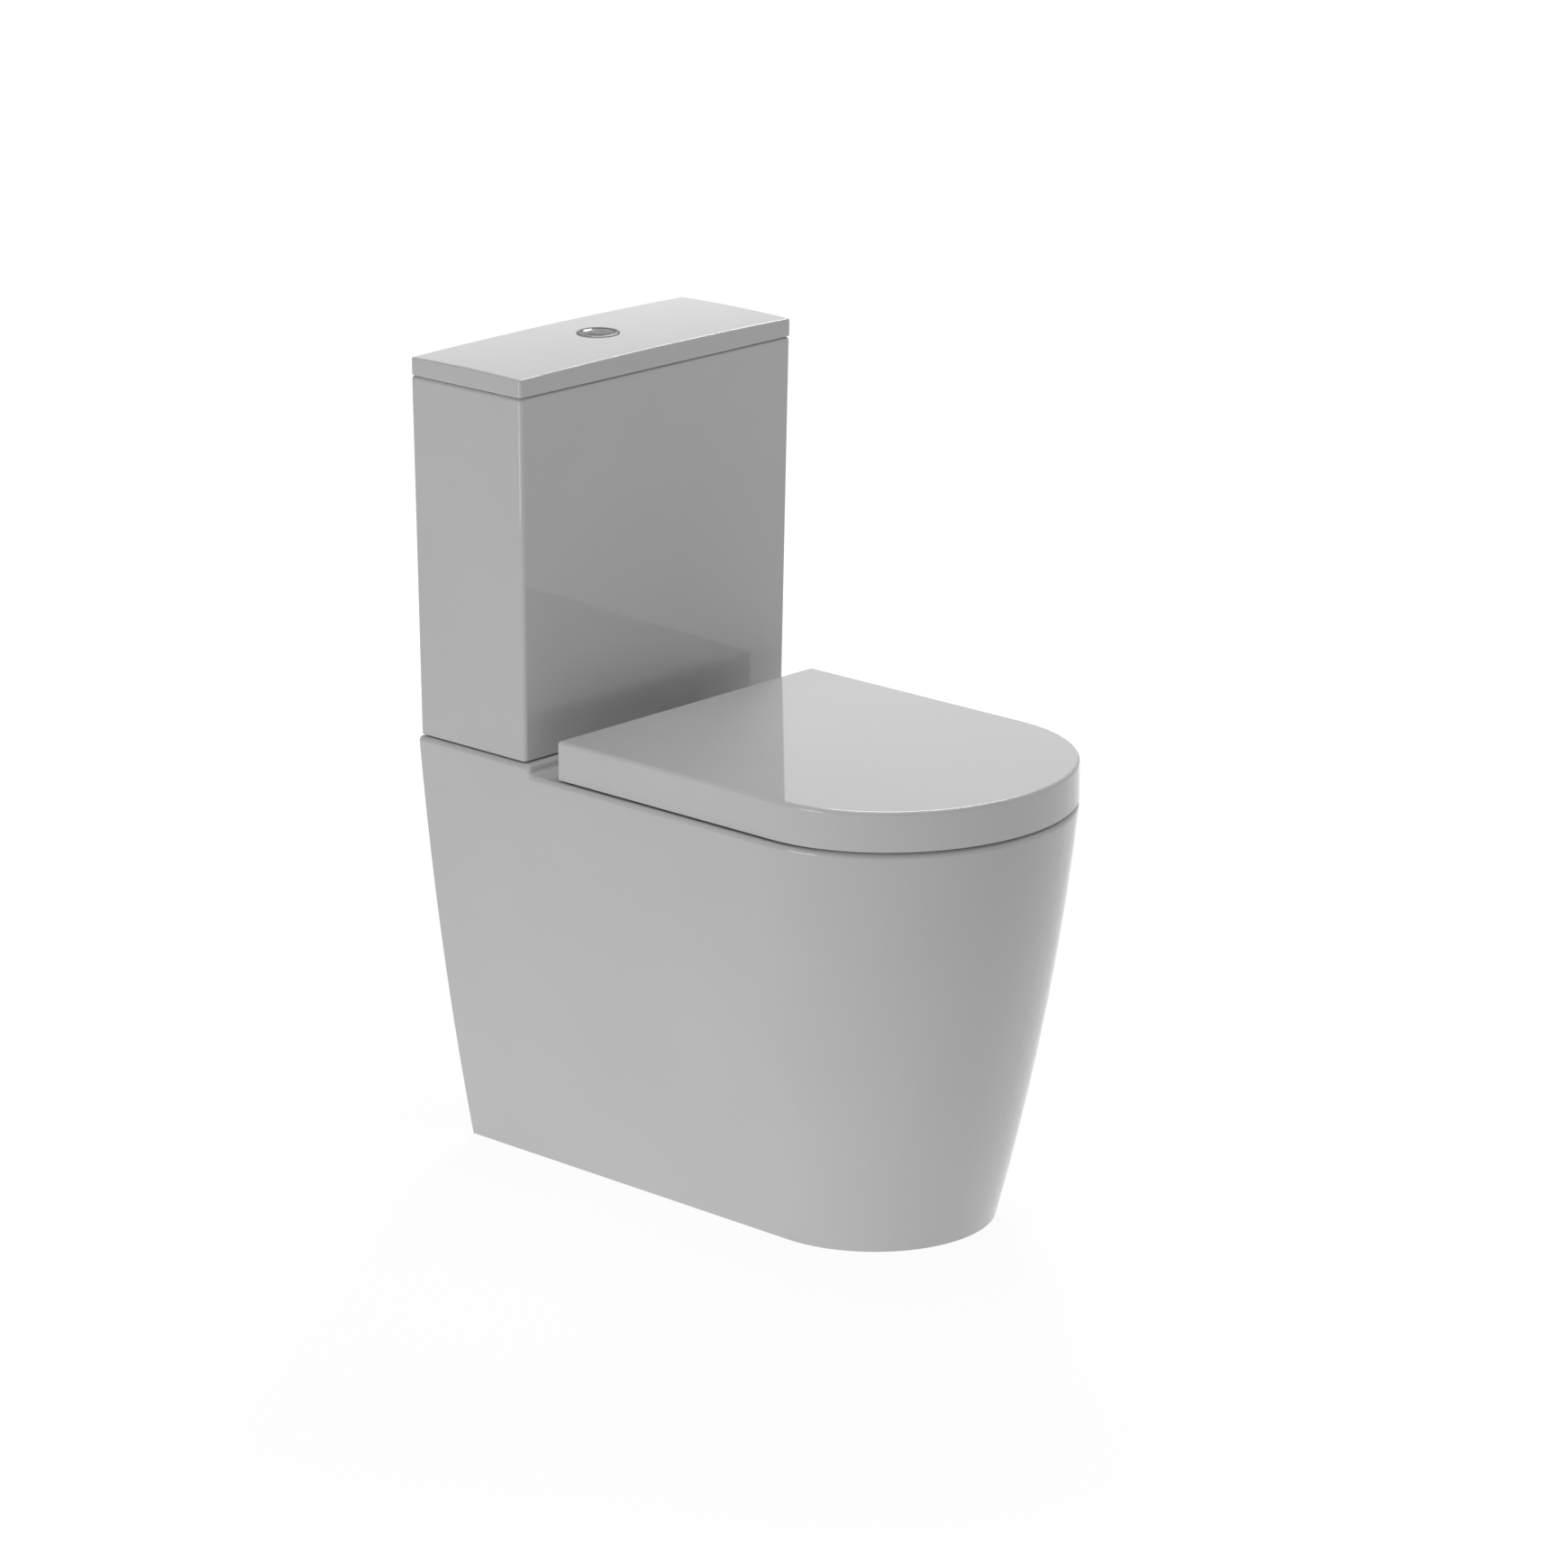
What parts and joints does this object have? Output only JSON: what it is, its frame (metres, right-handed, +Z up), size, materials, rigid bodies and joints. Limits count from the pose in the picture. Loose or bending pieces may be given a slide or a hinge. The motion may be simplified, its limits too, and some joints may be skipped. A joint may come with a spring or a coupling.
{
  "type": "back-to-wall close-coupled toilet",
  "caption": "Back-to-wall toilet with a tapered skirted pan, wrap-over hinged seat and cover, and a slim rectangular cistern with a dual push button in its lid.",
  "frame": {"origin": "on the floor, midway across the width and midway between the wall plane and the front of the rim", "axes": "+X to the right of a person facing the wall, +Y back to the wall, +Z up"},
  "size_m": [0.3782, 0.6374, 0.8225],
  "materials": {
    "vitreous_china": "gloss white glaze",
    "seat_duroplast": "gloss white",
    "soft_buffer": "matt",
    "button_chrome": "mirror",
    "valve_white_plastic": "satin",
    "valve_grey_plastic": "satin",
    "black_rubber": "matt",
    "stainless_steel": "brushed",
    "hinge_chrome": "mirror"
  },
  "bodies": {
    "pan_and_cistern": {"pan_shell": "vitreous_china", "pan_bowl": "vitreous_china", "pan_trapway": "vitreous_china", "pan_flush_duct": "vitreous_china", "cistern_tank": "vitreous_china", "outlet_valve_base": "valve_white_plastic", "outlet_valve_cage": "valve_white_plastic", "fill_valve_riser": "valve_white_plastic", "fill_valve_head": "valve_white_plastic", "outlet_valve_back_nut": "valve_grey_plastic", "inlet_nuts": "valve_grey_plastic", "blanking_plug": "valve_grey_plastic", "coupling_seal": "black_rubber", "bolt_cone_washers": "black_rubber", "bolt_rest_washers": "black_rubber", "outlet_valve_washer": "black_rubber", "inlet_washers": "black_rubber", "hinge_anchor_bushes": "black_rubber", "cistern_bolts": "stainless_steel", "bolt_plate_washers": "stainless_steel", "wing_nuts": "stainless_steel", "lever_pins": "stainless_steel", "fill_lever_pin": "stainless_steel", "hinge_pins": "stainless_steel", "hinge_studs": "stainless_steel", "hinge_nuts": "stainless_steel", "hinge_posts": "hinge_chrome", "hinge_base_plates": "hinge_chrome"},
    "seat": {"seat_ring": "seat_duroplast", "seat_buffers": "soft_buffer"},
    "cover": {"seat_cover": "seat_duroplast", "cover_buffers": "soft_buffer"},
    "cistern_lid_body": {"cistern_lid": "vitreous_china", "lid_pads": "soft_buffer", "button_housing": "button_chrome", "housing_nut": "valve_white_plastic", "full_button_spring": "stainless_steel", "half_button_spring": "stainless_steel"},
    "full_button": {"full_flush_button": "button_chrome", "full_push_rod": "valve_white_plastic"},
    "half_button": {"half_flush_button": "button_chrome", "half_push_rod": "valve_white_plastic"},
    "full_lever": {"full_flush_lever": "valve_grey_plastic"},
    "half_lever": {"half_flush_lever": "valve_grey_plastic"},
    "plunger": {"overflow_tube": "valve_grey_plastic", "flush_seal": "black_rubber"},
    "half_float": {"half_flush_float": "valve_grey_plastic"},
    "cistern_float": {"fill_float": "valve_grey_plastic", "float_link_rod": "valve_grey_plastic"},
    "fill_lever": {"fill_valve_lever": "valve_grey_plastic"}
  },
  "joints": [
    {"name": "seat_hinge", "type": "hinge", "parent": "pan_and_cistern", "child": "seat", "pos_m": [0, 0.12475, 0.446], "axis": [1, 0, 0], "range_deg": [-92, 0]},
    {"name": "cover_hinge", "type": "hinge", "parent": "seat", "child": "cover", "pos_m": [0, 0.12475, 0.446], "axis": [-1, 0, 0], "range_deg": [0, 92]},
    {"name": "cistern_lid_lift", "type": "slide", "parent": "pan_and_cistern", "child": "cistern_lid_body", "axis": [0, 0, 1], "range_m": [0, 0.12]},
    {"name": "full_flush_press", "type": "slide", "parent": "cistern_lid_body", "child": "full_button", "axis": [0, 0, -1], "range_m": [0, 0.005], "stiffness_N_per_m": 300, "springref_m": -0.01, "deforming": ["full_button_spring"]},
    {"name": "half_flush_press", "type": "slide", "parent": "cistern_lid_body", "child": "half_button", "axis": [0, 0, -1], "range_m": [0, 0.005], "stiffness_N_per_m": 300, "springref_m": -0.01, "deforming": ["half_button_spring"]},
    {"name": "full_lever_pivot", "type": "hinge", "parent": "pan_and_cistern", "child": "full_lever", "pos_m": [0.021, 0.25075, 0.7155], "axis": [0, -1, 0], "range_deg": [0, 30]},
    {"name": "plunger_lift", "type": "slide", "parent": "pan_and_cistern", "child": "plunger", "axis": [0, 0, 1], "range_m": [0, 0.01]},
    {"name": "half_lever_pivot", "type": "hinge", "parent": "pan_and_cistern", "child": "half_lever", "pos_m": [-0.021, 0.25075, 0.7155], "axis": [0, 1, 0], "range_deg": [0, 30]},
    {"name": "half_float_lift", "type": "slide", "parent": "pan_and_cistern", "child": "half_float", "axis": [0, 0, 1], "range_m": [0, 0.01]},
    {"name": "fill_float_rise", "type": "slide", "parent": "pan_and_cistern", "child": "cistern_float", "axis": [0, 0, 1], "range_m": [0, 0.012]},
    {"name": "fill_lever_pivot", "type": "hinge", "parent": "pan_and_cistern", "child": "fill_lever", "pos_m": [-0.101, 0.25075, 0.7065], "axis": [0, -1, 0], "range_deg": [0, 30]}
  ],
  "couplings": [
    {"joint": "full_lever_pivot", "follows": "full_flush_press", "rad_per_m": 104.7},
    {"joint": "plunger_lift", "follows": "full_flush_press", "ratio": 2},
    {"joint": "half_lever_pivot", "follows": "half_flush_press", "rad_per_m": 104.7},
    {"joint": "half_float_lift", "follows": "half_flush_press", "ratio": 2},
    {"joint": "fill_lever_pivot", "follows": "fill_float_rise", "rad_per_m": 43.6}
  ]
}
